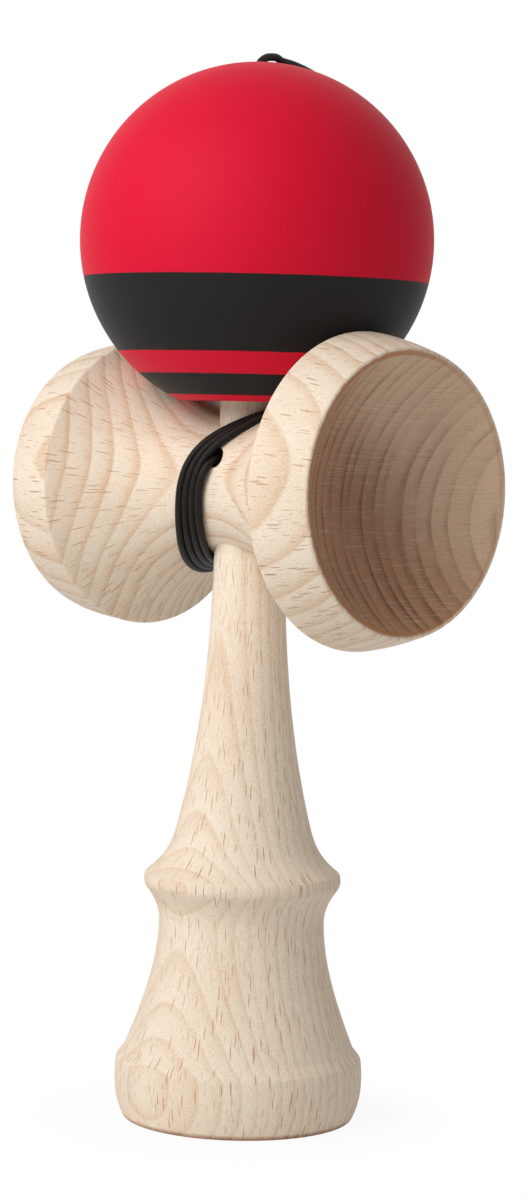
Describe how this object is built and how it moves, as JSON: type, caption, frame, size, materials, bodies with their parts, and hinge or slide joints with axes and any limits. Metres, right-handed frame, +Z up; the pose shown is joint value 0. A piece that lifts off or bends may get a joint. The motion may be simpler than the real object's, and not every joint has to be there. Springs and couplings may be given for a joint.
{
  "type": "kendama",
  "caption": "Wooden kendama: turned handle with spike and base cup, cross-piece with two cups, holed ball on the spike, and a cord wound round the waist.",
  "frame": {"origin": "centre of the base rim that the ken stands on", "axes": "+Z up the ken's axis to its spike, +X along the sarado to the big cup, +Y to the side where the string rises behind the ball"},
  "size_m": [0.0722, 0.0612, 0.1816],
  "materials": {
    "ken_beech": "raw sanded beech",
    "sarado_beech": "raw sanded beech",
    "ball_paint": "satin red paint with black bands on beech",
    "bead_wood": "raw",
    "cord": "braided nylon"
  },
  "bodies": {
    "ken": {"ken": "ken_beech", "sarado": "sarado_beech", "ken_knot": "cord", "string_lead": "cord", "string_winding": "cord", "string_riser": "cord"},
    "string_end": {"bead": "bead_wood", "bead_knot": "cord", "string_over_ball": "cord"},
    "tama": {"tama": "ball_paint"}
  },
  "joints": [
    {"name": "tama_lift", "type": "slide", "parent": "ken", "child": "string_end", "axis": [0, 0, 1], "range_m": [0, 0.05], "deforming": ["string_riser"]},
    {"name": "tama_spin", "type": "hinge", "parent": "string_end", "child": "tama", "pos_m": [0, 0, 0.14995], "axis": [0, 0, 1], "continuous": true}
  ]
}
